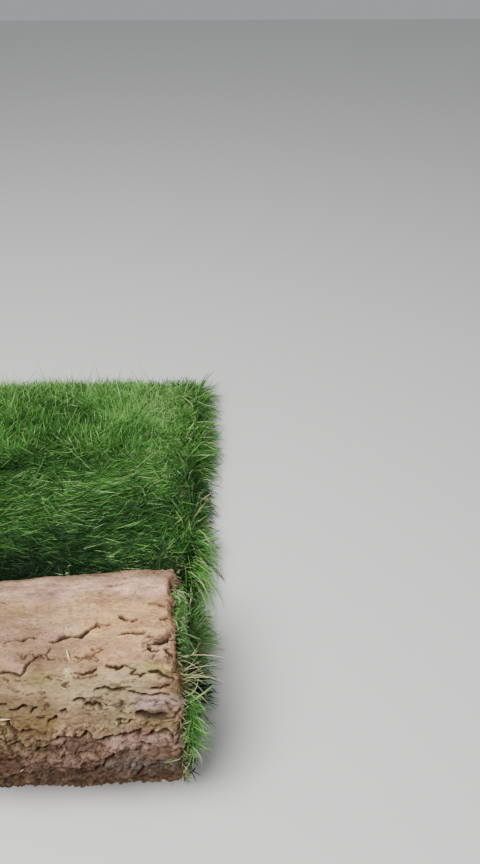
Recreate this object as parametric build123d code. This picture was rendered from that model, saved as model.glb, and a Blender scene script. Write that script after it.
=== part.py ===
"""A roll of turf, partly unrolled.

One strip of lawn, cut with its roots and soil, is rolled up with the grass inside, and its outer end
is laid open behind the roll with the grass up. Seen from the end, the strip is a flat flap on the
floor that runs under the roll, climbs the front and winds inwards in half turns about two centres,
each half turn smaller than the last by half the winding pitch. The weight of the roll presses a short
flat at the top and bottom of every turn. It is wound tighter at its left end, where the grass is pressed
thinner between the turns, so the roll tapers a little. The soil is one wound solid. The grass is a
second one, which fills the gap between the turns and stands free on the flap, crushed low behind the
roll and full height towards the open end.

Millimetres, +Z up. The roll's axis runs along X, its front faces -Y and the flap lies behind it on +Y.
The origin is on the floor under the roll, at the middle of the strip's width.
"""

import os

from build123d import *
from math import pi

# The strip of turf
strip_length = 2000.0
strip_width = 500.0
soil_thickness = 22.0

# How it is wound. The grass between two turns is pressed thinner at the left end of the soil than at
# the right
pressed_grass = 15.0
pressed_grass_left = 12.6
eye_radius = 9.0
half_turns = 5
sag_flat = 26.0

# The grass on the flap. It is crushed behind the roll up to crushed_reach from the axis, and stands at its
# full height from full_reach on
grass_height = 36.0
crushed_height = 17.0
crushed_reach = 170.0
full_reach = 430.0
side_overhang = 40.0
rear_overhang = 20.0
fringe_taper = 4.0

# The knife's cut along the soil, worn off at its corner
edge_wear = 5.0

# What follows from them
sward_round = 0.7 * crushed_height


def pressed_at(x):
    """How thin the grass between two turns is pressed, so far from the middle of the strip's width."""
    return pressed_grass_left + (pressed_grass - pressed_grass_left) * (0.5 + x / strip_width)


def winding_pitch(pressed):
    """From one turn to the next, where the grass is pressed so far."""
    return soil_thickness + pressed


def roll_radius(pressed):
    """The outermost half turn's radius, with the eye and the smaller half turns inside it."""
    return eye_radius + pressed + soil_thickness + (half_turns - 1) * winding_pitch(pressed) / 2


def wound_length(pressed):
    """How much of the strip the roll takes up, along the middle of its soil."""
    radii = [roll_radius(pressed) - turn * winding_pitch(pressed) / 2 for turn in range(half_turns)]
    return sum(pi * (radius - soil_thickness / 2) for radius in radii) + half_turns * sag_flat


flap_end = strip_length - wound_length(pressed_grass) + sag_flat / 2


def half_turn(pressed, turn, depth):
    """One half turn of the strip, at a depth below its soil face: even ones climb the front, odd ones fall
    behind."""
    radius = roll_radius(pressed) - turn * winding_pitch(pressed) / 2 - depth
    if turn % 2 == 0:
        return CenterArc((-sag_flat / 2, roll_radius(pressed)), radius, -90, -180)
    return CenterArc((sag_flat / 2, roll_radius(pressed) + winding_pitch(pressed) / 2), radius, 90, -180)


def wound_line(pressed, start, depth):
    """The strip's course in the YZ plane at one depth below its soil face, from start to its inner end."""
    here = Vector(start, depth)
    edges = []
    for turn in range(half_turns):
        arc = half_turn(pressed, turn, depth)
        edges += [Line(here, arc @ 0), arc]
        here = arc @ 1
    return edges


def wound_section(pressed, start, near, far):
    """The face between two depths of the wound strip."""
    outer = wound_line(pressed, start, near)
    inner = wound_line(pressed, start, far)
    ends = [Line(outer[0] @ 0, inner[0] @ 0), Line(outer[-1] @ 1, inner[-1] @ 1)]
    return make_face(outer + inner + ends)


def soil_section(pressed):
    """The soil seen from the end."""
    return wound_section(pressed, flap_end, 0, soil_thickness)


def pressed_section(pressed):
    """The grass between the turns, seen from the end."""
    return wound_section(pressed, sag_flat / 2, soil_thickness, winding_pitch(pressed))


def back_outline(pressed):
    """The circle that the back of the roll follows."""
    centre = Pos(sag_flat / 2, roll_radius(pressed) + winding_pitch(pressed) / 2)
    return centre * Circle(roll_radius(pressed) - winding_pitch(pressed) / 2)


def across(section, width):
    """Drawn out along the roll's axis, from a section at the left end to its looser twin at the right."""
    left = Plane.YZ.offset(-width / 2) * section(pressed_at(-width / 2))
    right = Plane.YZ.offset(width / 2) * section(pressed_at(width / 2))
    return loft([left, right], ruled=True)


def long_edges(part, width, depth):
    """The strip's two long edges at one depth, on the outermost half turn. The other turns run on smoothly
    from it, so that an edge finish put on these goes from end to end of the strip."""
    edges = []
    for end in (-width / 2, width / 2):
        radius = roll_radius(pressed_at(end)) - depth(pressed_at(end))
        for arc in part.edges().filter_by(GeomType.CIRCLE):
            at_end = abs(arc.center().X - end) < 0.01
            if at_end and abs(arc.radius - radius) < 0.001:
                edges.append(arc)
    return edges


def soil_mat():
    """The soil and roots of the strip, with the long edges of its soil face worn off."""
    mat = across(soil_section, strip_width)
    return chamfer(long_edges(mat, strip_width, lambda pressed: 0), edge_wear)


def sward(width):
    """The grass that stands on the flap, up to the back of the roll, with its rims rounded."""
    rear = flap_end + rear_overhang
    crushed_top = soil_thickness + crushed_height
    full_top = soil_thickness + grass_height
    outline = Polyline(
        (0, soil_thickness),
        (rear, soil_thickness),
        (rear, full_top),
        (full_reach, full_top),
        (crushed_reach, crushed_top),
        (0, crushed_top),
        close=True,
    )
    layer = extrude(Plane.YZ * make_face(outline), amount=width / 2, both=True)
    tops = [face for face in layer.faces() if face.normal_at().Z > 0.8]
    edges = [edge for face in tops for edge in face.edges()]
    rims = [edge for edge in edges if abs(edge.center().X) > 1 or edge.center().Y > flap_end]
    layer = fillet(rims, sward_round)
    under_roll = Pos(0, sag_flat / 2) * Box(width, rear, full_top, align=(Align.CENTER, Align.MAX, Align.MIN))
    return layer - under_roll - across(back_outline, width)


def grass():
    """The grass: pressed between the turns, out past the roll's ends, and standing on the flap. It thins
    out at the ends of the roll, where the blades hang over."""
    width = strip_width + 2 * side_overhang
    between = across(pressed_section, width)
    outside = long_edges(between, width, lambda pressed: soil_thickness)
    inside = long_edges(between, width, winding_pitch)
    return chamfer(outside + inside, fringe_taper) + sward(width)


def main():
    os.makedirs("parts", exist_ok=True)
    for name, solid in {"soil_mat": soil_mat(), "grass": grass()}.items():
        export_step(solid, f"parts/{name}.step")
    print("roll radius", roll_radius(pressed_grass), "and at the left", roll_radius(pressed_grass_left))
    print("wound length", wound_length(pressed_grass), "flap end", flap_end)


main()
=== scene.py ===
# %% [markdown]
# # A roll of turf, partly unrolled
# Turf is a strip of lawn that a blade lifts with two centimetres of soil and roots under it. The strip is
# rolled up with its grass inside, so the outside of the roll is bare soil that dries and cracks, and green
# shows only at the ends and where the strip is laid open again.
#
# The measured model is loaded first. It gives the size of every part, and all the pieces below are fitted
# to it. Two things are made on top of it: the soil, as a flat mat that is then wound up, and the grass, as
# many thousand blades.

import bmesh
import bpy
import numpy as np
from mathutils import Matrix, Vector


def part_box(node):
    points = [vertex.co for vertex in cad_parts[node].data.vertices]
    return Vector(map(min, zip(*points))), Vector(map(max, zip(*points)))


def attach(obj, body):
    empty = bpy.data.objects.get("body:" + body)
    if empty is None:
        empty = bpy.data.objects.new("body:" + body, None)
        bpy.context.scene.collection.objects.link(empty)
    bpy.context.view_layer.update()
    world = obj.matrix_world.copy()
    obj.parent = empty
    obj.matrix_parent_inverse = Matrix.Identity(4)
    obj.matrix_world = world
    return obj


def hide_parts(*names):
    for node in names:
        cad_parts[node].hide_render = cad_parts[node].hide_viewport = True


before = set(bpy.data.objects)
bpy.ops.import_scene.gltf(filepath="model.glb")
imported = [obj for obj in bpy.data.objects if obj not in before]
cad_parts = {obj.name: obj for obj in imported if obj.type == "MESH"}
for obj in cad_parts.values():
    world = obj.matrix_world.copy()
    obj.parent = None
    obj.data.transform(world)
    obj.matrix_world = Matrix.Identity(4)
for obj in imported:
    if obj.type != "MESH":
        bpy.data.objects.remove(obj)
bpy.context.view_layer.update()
soil_low, soil_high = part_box("soil_mat")
grass_low, grass_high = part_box("grass")
print("soil from", tuple(soil_low), "to", tuple(soil_high))
print("grass from", tuple(grass_low), "to", tuple(grass_high))

# %% [markdown]
# The camera comes early, because it decides where detail is needed. A lens of 28.75 mm on a sensor 36 mm
# high is what a small camera held upright sees. It stands above and in front of the roll and looks down by
# nearly 39 degrees, with the roll's right end a little to the left of the middle of the picture.

# %% Set up the camera
eye = (0.311, -0.504, 0.908)
looking_down = np.radians(38.8)
turned_right = np.radians(1.5)
sensor_height = 36.0
lens = 28.75

camera = bpy.data.objects.new("camera", bpy.data.cameras.new("camera"))
camera.data.sensor_fit = "VERTICAL"
camera.data.sensor_height = sensor_height
camera.data.lens = lens
camera.location = eye
camera.rotation_euler = (np.pi / 2 - looking_down, 0, -turned_right)
bpy.context.scene.collection.objects.link(camera)
bpy.context.scene.camera = camera
print("camera at", eye)

# %% [markdown]
# Plain studio light: a pale floor, a soft even sky, and one large panel overhead, a little in front. The
# panel lights the top of the roll and the tips of the blades, leaves the foot of the roll darker, and lets
# the roll throw its own shadow on the grass just behind it.

# %% Build the studio
floor_size = 12.0
panel_size = 1.3
panel_place = (-0.5, -0.75, 2.3)
panel_target = (0.0, 0.3, 0.0)
panel_watts = 105.0
sky_colour = (0.93, 0.96, 1.0, 1)
sky_strength = 0.4
floor_colour = (0.72, 0.71, 0.69, 1)

floor_mesh = bpy.data.meshes.new("floor")
bm = bmesh.new()
bmesh.ops.create_grid(bm, x_segments=1, y_segments=1, size=floor_size / 2)
bm.to_mesh(floor_mesh)
bm.free()
floor = bpy.data.objects.new("floor", floor_mesh)
bpy.context.scene.collection.objects.link(floor)
floor_material = bpy.data.materials.new("pale floor")
floor_material.use_nodes = True
floor_paint = floor_material.node_tree.nodes["Principled BSDF"].inputs
floor_paint["Base Color"].default_value = floor_colour
floor_paint["Roughness"].default_value = 0.9
floor.data.materials.append(floor_material)

world = bpy.data.worlds.new("soft sky")
world.use_nodes = True
world.node_tree.nodes["Background"].inputs["Color"].default_value = sky_colour
world.node_tree.nodes["Background"].inputs["Strength"].default_value = sky_strength
bpy.context.scene.world = world

panel = bpy.data.objects.new("panel", bpy.data.lights.new("panel", "AREA"))
panel.data.size = panel_size
panel.data.energy = panel_watts
panel.location = panel_place
panel.rotation_euler = (Vector(panel_target) - Vector(panel_place)).to_track_quat("-Z", "Y").to_euler()
bpy.context.scene.collection.objects.link(panel)
print("studio of", floor_size, "m")

# %% [markdown]
# The winding is read from the boxes of the two nodes: the roll's diameter is the soil's height, and the
# flat that the weight presses under it is what the front reaches past one radius. Each half turn is
# smaller than the last by half the winding pitch. The strip is then described by three numbers, as on a
# map: how far along it, how far across it, and how deep below its soil face. A list of its straight runs
# and half turns is all that it takes to find the place of any point.

# %% Measure the winding
soil_thickness = 0.022
pressed_grass = 0.015
half_turns = 5

half_width = soil_high[0]
roll_radius = soil_high[2] / 2
sag_flat = 2 * (-soil_low[1] - roll_radius)
half_pitch = (soil_thickness + pressed_grass) / 2
flap_length = soil_high[1] + sag_flat / 2


def stretches():
    """The strip's straight runs and half turns in order, from the flap's open end to the eye: the kind,
    the length along the middle of the soil, and the place, which is a centre for a half turn."""
    runs = [("under", flap_length, (soil_high[1], 0.0), 0.0)]
    for turn in range(half_turns):
        radius = roll_radius - turn * half_pitch
        front = turn % 2 == 0
        centre = (-sag_flat / 2, roll_radius) if front else (sag_flat / 2, roll_radius + half_pitch)
        runs.append(("front" if front else "back", np.pi * (radius - soil_thickness / 2), centre, radius))
        if turn < half_turns - 1:
            y = -sag_flat / 2 if front else sag_flat / 2
            z = centre[1] + radius if front else centre[1] - radius
            runs.append(("over" if front else "under_back", sag_flat, (y, z), 0.0))
    return runs


run_lengths = [run[1] for run in stretches()]
strip_length = sum(run_lengths)
print("strip", round(strip_length, 3), "m long,", 2 * half_width, "m wide, roll", 2 * roll_radius, "m across")

# %% [markdown]
# Winding is a walk along that list. A point on a straight run goes ahead and up from the run's start, and
# a point on a half turn goes round its centre, nearer to it the deeper it is in the soil. Two things are
# less regular than that in the photograph: the roll is wound tighter towards its left end, and its right
# end isn't cut in one plane, but stands out low on the roll and back at its top. A bend modifier could
# roll up a flat mat too, but only about one centre, and here one function has to place soil and grass.

# %% Wind the strip
directions = {"under": (-1, 1), "over": (1, -1), "under_back": (-1, 1)}
tighter_left = 0.06
right_end_up = [0.0, 0.1, 0.27, 0.32, 0.36, 0.42, 0.5, 0.6]
right_end_out = [0, 0.008, 0.009, 0.0005, -0.0035, -0.006, -0.004, 0]


def wind(along, depth):
    """Places in the YZ plane, and the direction into the strip, for points so far along and so deep."""
    along, depth = np.broadcast_arrays(np.asarray(along, float), np.asarray(depth, float))
    place = np.zeros(along.shape + (2,))
    inward = np.zeros(along.shape + (2,))
    start = 0.0
    runs = stretches()
    for number, (kind, length, point, radius) in enumerate(runs):
        from_start = (number == 0) | (along >= start)
        to_end = (number == len(runs) - 1) | (along < start + length)
        here = from_start & to_end
        step = along[here] - start
        if kind in ("front", "back"):
            sweep = step / length * np.pi
            angle = -np.pi / 2 - sweep if kind == "front" else np.pi / 2 - sweep
            out = np.stack([np.cos(angle), np.sin(angle)], -1)
            place[here] = np.array(point) + out * (radius - depth[here])[:, None]
            inward[here] = -out
        else:
            ahead, up = directions[kind]
            place[here] = np.stack([point[0] + ahead * step, point[1] + up * depth[here]], -1)
            inward[here] = (0, up)
        start += length
    return place, inward


def right_end(up):
    """How far the right end stands out or back, so far up the strip from where it leaves the floor."""
    return np.interp(up, right_end_up, right_end_out)


def settle(points, along):
    """The roll is wound tighter towards its left end, so it is smaller there. The flap isn't moved."""
    slack = tighter_left * (0.5 - points[:, 0] / (2 * half_width)) * (along > flap_length)
    points[:, 1] = -sag_flat / 2 + (points[:, 1] + sag_flat / 2) * (1 - slack)
    points[:, 2] = points[:, 2] * (1 - slack)
    return points


print("inner end of the strip at", wind(strip_length, 0)[0])

# %% [markdown]
# Nothing about soil or grass is regular, so both need a source of smooth chance. This one gives every
# point of a plane a value between -1 and 1 that changes over a chosen distance: random numbers stand on
# the corners of a net, and the points between them are blended. Adding finer and fainter nets makes it
# rough. Blender's own noise would do for materials, but the shapes below are worked out in arrays. The
# seed is fixed, so the turf is the same each time.

# %% Make smooth chance
net_size = 128
net_shift = (37.3, 11.7)


def drift(across, along, size, seed):
    """Smooth random values between -1 and 1 that change over one size."""
    net = np.random.default_rng(seed).uniform(-1, 1, (net_size, net_size))
    u, v = np.asarray(across) / size + net_shift[0], np.asarray(along) / size + net_shift[1]
    column, row = np.floor(u).astype(int), np.floor(v).astype(int)
    right, up = u - column, v - row
    right, up = right * right * (3 - 2 * right), up * up * (3 - 2 * up)
    here, next_one = column % net_size, (column + 1) % net_size
    near = net[here, row % net_size] * (1 - right) + net[next_one, row % net_size] * right
    far = net[here, (row + 1) % net_size] * (1 - right) + net[next_one, (row + 1) % net_size] * right
    return near * (1 - up) + far * up


def rough(across, along, size, seed, layers=3):
    """Several drifts on top of each other, each half as large and half as strong as the last."""
    return sum(drift(across, along, size / 2**k, seed + k) / 2**k for k in range(layers))


def ease(low, high, value):
    """0 below low, 1 above high, and a smooth change between them."""
    share = np.clip((np.asarray(value) - low) / (high - low), 0, 1)
    return share * share * (3 - 2 * share)


print("rough at one point", float(rough(0.1, 0.2, 0.05, 1)))

# %% [markdown]
# Soil also breaks into pieces, and grass stands in tufts. Both are cells: one point is scattered in each
# square of a net, and every place belongs to the point that is nearest. How much nearer it is than the
# second nearest tells how far the cell's border is.

# %% Make uneven cells
cell_columns, cell_rows = 97, 89
scatter = 0.45


def cells(across, along, size, seed):
    """The plane in uneven cells, each about one size wide: two random values for the cell that a point is
    in, and how far it is from the cell's border, from 0 to about 1."""
    net = np.random.default_rng(seed).uniform(-1, 1, (cell_columns, cell_rows, 4))
    x, y = np.asarray(across) / size, np.asarray(along) / size
    column, row = np.floor(x).astype(int), np.floor(y).astype(int)
    nearest, second = np.full(x.shape, 9.0), np.full(x.shape, 9.0)
    values = np.zeros(x.shape + (2,))
    for right in (-1, 0, 1):
        for up in (-1, 0, 1):
            cell = net[(column + right) % cell_columns, (row + up) % cell_rows]
            away_x = x - column - right - 0.5 - scatter * cell[..., 0]
            away_y = y - row - up - 0.5 - scatter * cell[..., 1]
            away = np.hypot(away_x, away_y)
            nearer = away < nearest
            second = np.where(nearer, nearest, np.minimum(second, away))
            nearest = np.where(nearer, away, nearest)
            values = np.where(nearer[..., None], cell[..., 2:], values)
    return values, second - nearest


print("border at one point", float(cells(0.1, 0.2, 0.05, 1)[1]))

# %% [markdown]
# Rolling bends the mat, and dry soil can't stretch, so its outside opens in cracks that run with the
# roll's axis, jagged and branching. A pattern of cells would give cracks too, but all alike. So the ones
# that the photograph shows are listed: how wide each one opens, then its bends, all in millimetres, as
# how far across the strip and how far up it from where it leaves the floor.

# %% List the cracks of the photograph
seen_cracks = [
    (1.6, [(51, 320), (60, 324), (73, 323), (81, 325), (91, 327)]),
    (2.7, [(104, 322), (115, 320), (123, 325), (140, 325), (149, 333), (157, 337), (163, 334)]),
    (1.0, [(155, 340), (165, 338), (177, 339)]),
    (2.0, [(52, 289), (64, 288), (77, 285), (84, 295), (94, 306), (106, 308), (110, 313)]),
    (1.0, [(102, 308), (107, 302), (117, 300)]),
    (2.4, [(182, 348), (194, 341), (207, 342)]),
    (2.7, [(208, 363), (224, 364), (238, 357)]),
    (2.0, [(232, 341), (238, 343), (245, 341)]),
    (2.1, [(185, 326), (200, 326), (207, 325), (218, 327)]),
    (1.7, [(216, 312), (233, 312), (244, 317)]),
    (1.6, [(218, 310), (223, 306), (229, 305)]),
    (2.0, [(235, 306), (241, 301), (247, 300)]),
    (1.7, [(137, 287), (149, 285), (159, 287), (162, 290)]),
    (2.4, [(172, 294), (184, 290), (192, 291)]),
    (1.5, [(192, 291), (203, 289), (208, 289)]),
    (2.0, [(208, 289), (201, 284), (212, 281), (219, 284)]),
    (2.3, [(220, 285), (229, 285), (233, 281), (246, 276)]),
    (1.8, [(161, 269), (177, 270), (195, 268)]),
    (1.2, [(188, 271), (203, 270)]),
    (2.0, [(198, 266), (216, 263), (237, 263)]),
    (1.3, [(222, 269), (229, 270), (240, 272)]),
    (2.3, [(137, 258), (142, 261), (147, 261), (151, 258)]),
    (1.8, [(150, 255), (164, 254), (171, 253)]),
    (1.9, [(109, 239), (118, 241), (120, 245)]),
    (1.4, [(122, 249), (129, 249), (131, 247)]),
    (1.8, [(52, 256), (66, 257)]),
    (2.3, [(68, 252), (73, 251), (81, 254), (87, 255)]),
    (1.4, [(92, 248), (94, 253), (99, 254)]),
    (1.3, [(96, 243), (101, 242), (107, 244)]),
    (2.6, [(64, 240), (69, 235), (73, 230), (78, 229)]),
    (1.7, [(78, 229), (96, 230), (102, 226), (110, 225)]),
    (2.8, [(111, 219), (126, 219), (144, 219), (149, 222), (152, 226), (160, 215)]),
    (2.5, [(160, 215), (178, 219), (194, 221), (209, 224), (214, 222)]),
    (2.1, [(214, 222), (231, 223), (237, 224), (241, 216)]),
    (2.1, [(187, 236), (199, 235), (206, 238)]),
    (2.4, [(81, 210), (96, 209), (105, 209), (108, 213)]),
    (2.2, [(150, 166), (166, 180), (177, 194), (183, 198)]),
    (1.5, [(183, 202), (193, 201), (211, 200)]),
    (2.3, [(211, 213), (216, 208), (222, 209)]),
    (4.2, [(206, 245), (216, 242), (226, 241), (236, 244)]),
    (2.2, [(187, 236), (192, 239), (199, 238)]),
    (1.6, [(60, 231), (63, 222), (66, 212), (72, 202)]),
    (1.8, [(62, 214), (74, 217), (84, 213), (92, 214)]),
    (1.3, [(140, 198), (152, 200), (163, 197)]),
    (1.5, [(190, 172), (209, 176), (220, 170)]),
    (1.8, [(205, 152), (225, 148), (240, 153)]),
    (1.2, [(196, 160), (214, 161)]),
    (1.7, [(53, 194), (68, 192)]),
    (1.2, [(30, 400), (43, 398)]),
    (1.0, [(212, 389), (221, 387), (229, 388)]),
    (1.6, [(160, 398), (171, 396), (184, 396)]),
]
print(len(seen_cracks), "cracks seen")

# %% [markdown]
# Where the photograph doesn't show the roll, it gets cracks that are grown at random in the same manner:
# each starts somewhere, walks sideways in uneven steps, and stops. The seen part stays free of them.

# %% Grow the other cracks
crack_count = 120


def grow_crack(chance, start, steps):
    """A crack that walks sideways from its start, in millimetres."""
    side = chance.choice([-1, 1])
    points = [start]
    for _ in range(steps):
        x, up = points[-1]
        points.append((x + side * chance.uniform(7, 17), up + chance.normal(0, 5)))
    return chance.uniform(0.8, 2.4), points


def all_cracks():
    """The cracks of the photograph, and grown ones where it doesn't show the roll."""
    chance = np.random.default_rng(8)
    cracks = list(seen_cracks)
    while len(cracks) < crack_count:
        start = (chance.uniform(-245, 245), chance.uniform(20, 690))
        in_view = start[0] > 40 and 185 < start[1] < 420
        if not in_view:
            cracks.append(grow_crack(chance, start, chance.integers(2, 8)))
    return cracks


print(len(all_cracks()), "cracks")

# %% [markdown]
# A crack is a bent line with a width, so a point of the soil only has to know its nearest crack: how far
# away it is, and on which side. Cutting each one with a boolean would be slow and fragile, and this only
# presses a fine grid down where a crack runs. The width runs out to nothing at both ends of each crack and
# wavers between them. The soil curls up along one side of a crack and sinks along the other.

# %% Measure the cracks
crack_reach = 0.02
curled_reach = 0.007
curled_height = 0.00035
least_opening, opening_scale = 0.0001, 0.00056


def measure_cracks(across, up):
    """How far inside a crack each point is, from 0 to 1, and how the soil beside the cracks is shifted:
    up on one side and down on the other."""
    inside, shift = np.zeros(across.shape), np.zeros(across.shape)
    for number, (opening, bends) in enumerate(all_cracks()):
        line = np.array(bends) / 1000
        low, high = line.min(0) - crack_reach, line.max(0) + crack_reach
        near = (across > low[0]) & (across < high[0]) & (up > low[1]) & (up < high[1])
        x, y = across[near], up[near]
        best, above, along_crack = np.full(x.shape, 1.0), np.zeros(x.shape), np.zeros(x.shape)
        count = len(line) - 1
        for stretch in range(count):
            start, step = line[stretch], line[stretch + 1] - line[stretch]
            share = np.clip(((x - start[0]) * step[0] + (y - start[1]) * step[1]) / (step @ step), 0, 1)
            away_x, away_y = x - start[0] - share * step[0], y - start[1] - share * step[1]
            away = np.hypot(away_x, away_y)
            closer = away < best
            best = np.where(closer, away, best)
            above = np.where(closer, np.sign(away_y), above)
            along_crack = np.where(closer, (stretch + share) / count, along_crack)
        ends = np.clip(8 * along_crack * (1 - along_crack), 0, 1) ** 0.6
        wavering = 1 + 0.45 * drift(x, y, 0.009, 61)
        half_open = (least_opening + opening_scale * opening * wavering) * ends
        inside[near] = np.maximum(inside[near], np.clip(1.5 - best / np.maximum(half_open, 1e-6), 0, 1))
        raised = 1 if number % 3 else -1
        shift[near] += raised * above * ends * curled_height * opening * np.exp(-best / curled_reach)
    return inside, shift


print("inside a crack at one point:", float(measure_cracks(np.array([0.104]), np.array([0.322]))[0][0]))

# %% [markdown]
# The soil is modelled flat, as it is cut, and wound afterwards. One face of a flat slab becomes a fine
# grid, its rim is extruded down in rows to make the cut sides, and the far side, which grass hides, is
# closed by one face and cut into strips so that it can bend. A spiral could be extruded too, but on a flat
# slab every crack and every patch of colour has a simple place.

# %% Make slabs of soil
side_rows = 6
strip_of_back = 0.02


def flat_slab(along_lines, across_lines):
    """A closed slab as a bmesh grid with u and v from -1 to 1 and w from 0 down to -1."""
    bm = bmesh.new()
    bmesh.ops.create_grid(bm, x_segments=len(along_lines) - 1, y_segments=len(across_lines) - 1, size=1)
    rim = [edge for edge in bm.edges if edge.is_boundary]
    for _ in range(side_rows):
        grown = bmesh.ops.extrude_edge_only(bm, edges=rim)["geom"]
        lower = [item for item in grown if isinstance(item, bmesh.types.BMVert)]
        bmesh.ops.translate(bm, verts=lower, vec=(0, 0, -1 / side_rows))
        lower_set = set(lower)
        edges = [item for item in grown if isinstance(item, bmesh.types.BMEdge)]
        rim = [edge for edge in edges if lower_set.issuperset(edge.verts)]
    back = bmesh.ops.holes_fill(bm, edges=rim)["faces"]
    length = along_lines[-1] - along_lines[0]
    every = max(1, round(len(along_lines) * strip_of_back / length))
    for cut in range(every, len(along_lines) - 1, every):
        u = -1 + 2 * cut / (len(along_lines) - 1)
        parts = list(dict.fromkeys(item for face in back for item in (face, *face.edges, *face.verts)))
        halves = bmesh.ops.bisect_plane(bm, geom=parts, dist=1e-5, plane_co=(u, 0, 0), plane_no=(1, 0, 0))
        faces = [item for item in halves["geom"] if isinstance(item, bmesh.types.BMFace)]
        back = [face for face in faces if face.is_valid and face.calc_center_median().x > u]
    bmesh.ops.recalc_face_normals(bm, faces=bm.faces)
    return bm


print("slabs of", side_rows, "rows down each side")

# %% [markdown]
# Each slab gets a UV map, so that no two places of it share a spot: the slab is unfolded like a box, with
# its four sides around the fine face, and the back as a narrow strip above them. An unwrap would take long
# for so many faces, and while the slab is flat the map needs nothing but each point's own place.


# %% Unfold the slabs
def box_map(mesh, along, across, depth):
    """The slab unfolded like a box into the unit square: the fine face, its four sides, and the back."""
    normals = np.empty(3 * len(mesh.polygons), np.float32)
    mesh.polygons.foreach_get("normal", normals)
    totals = np.empty(len(mesh.polygons), np.int32)
    mesh.polygons.foreach_get("loop_total", totals)
    facing = np.repeat(normals.reshape(-1, 3), totals, axis=0)
    corner = np.empty(len(mesh.loops), np.int32)
    mesh.loops.foreach_get("vertex_index", corner)
    u, v, down = along[corner], across[corner], depth[corner]
    kind = np.abs(facing).argmax(1)
    u = np.where(kind == 0, u + np.sign(facing[:, 0]) * down, u)
    v = np.where(kind == 1, v + np.sign(facing[:, 1]) * down, v)
    back = (kind == 2) & (facing[:, 2] < 0)
    low_u, wide_u = along.min() - soil_thickness, np.ptp(along) + 2 * soil_thickness
    low_v, wide_v = across.min() - soil_thickness, np.ptp(across) + 2 * soil_thickness
    u = (u - low_u) / wide_u
    v = np.where(back, 0.96 + 0.035 * (v - low_v) / wide_v, 0.95 * (v - low_v) / wide_v)
    return np.stack([u, v], -1)


print("slabs unfold with a border of", soil_thickness, "m")

# %% [markdown]
# All pieces are put into the scene in the same way, as smooth objects with one finish. What a finish needs
# to know about each point, such as how deep inside a crack it is, is kept with the mesh as named numbers.
# An image could hold that too, but numbers need no drawing, and they stay with the surface as it is wound.


# %% Put pieces into the scene
def add_numbers(mesh, name, values):
    """A value or a vector for every point of a mesh, which materials can read by name."""
    kind = "FLOAT" if values.ndim == 1 else "FLOAT_VECTOR"
    layer = mesh.attributes.new(name, kind, "POINT")
    layer.data.foreach_set("value" if values.ndim == 1 else "vector", values.astype(np.float32).ravel())


def new_piece(mesh, finish):
    """A mesh as a smooth object of the scene, with its finish."""
    mesh.shade_smooth()
    piece = bpy.data.objects.new(mesh.name, mesh)
    bpy.context.scene.collection.objects.link(piece)
    piece.data.materials.append(finish)
    return piece


def lines(*marks):
    """Grid lines between marks: each mark is a place and the spacing up to the next one."""
    places = [marks[0][0]]
    for (start, spacing), (end, _) in zip(marks, marks[1:]):
        count = max(1, round((end - start) / spacing))
        places += list(np.linspace(start, end, count + 1)[1:])
    return np.array(places)


print("a slab of", len(lines((0.0, 0.1), (1.0, 0))), "lines in steps of 0.1")

# %% [markdown]
# A slab turns into a piece of turf in a few steps. The relief lifts its fine face, and less and less of
# its sides. The cut sides themselves are ragged. Then every point goes to its place on the winding, and
# the soil is made darker where it is low down: partly for the damp that rises from below, and partly as
# painted shade at the foot of the roll.

# %% Wind a slab of soil
side_roughness = 0.005
right_end_reach = 0.04
least_height = 0.0002
# The darker foot of the roll is partly damp soil and partly painted shade.
foot_damp_and_painted_shade = np.array([0.34, 0.315, 0.35])
damp_and_shade_from, damp_and_shade_all = 0.2, 0.125
lower_damp_and_shade_share, lower_damp_and_shade_from, lower_damp_and_shade_all = 0.29, 0.243, 0.21


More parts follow.
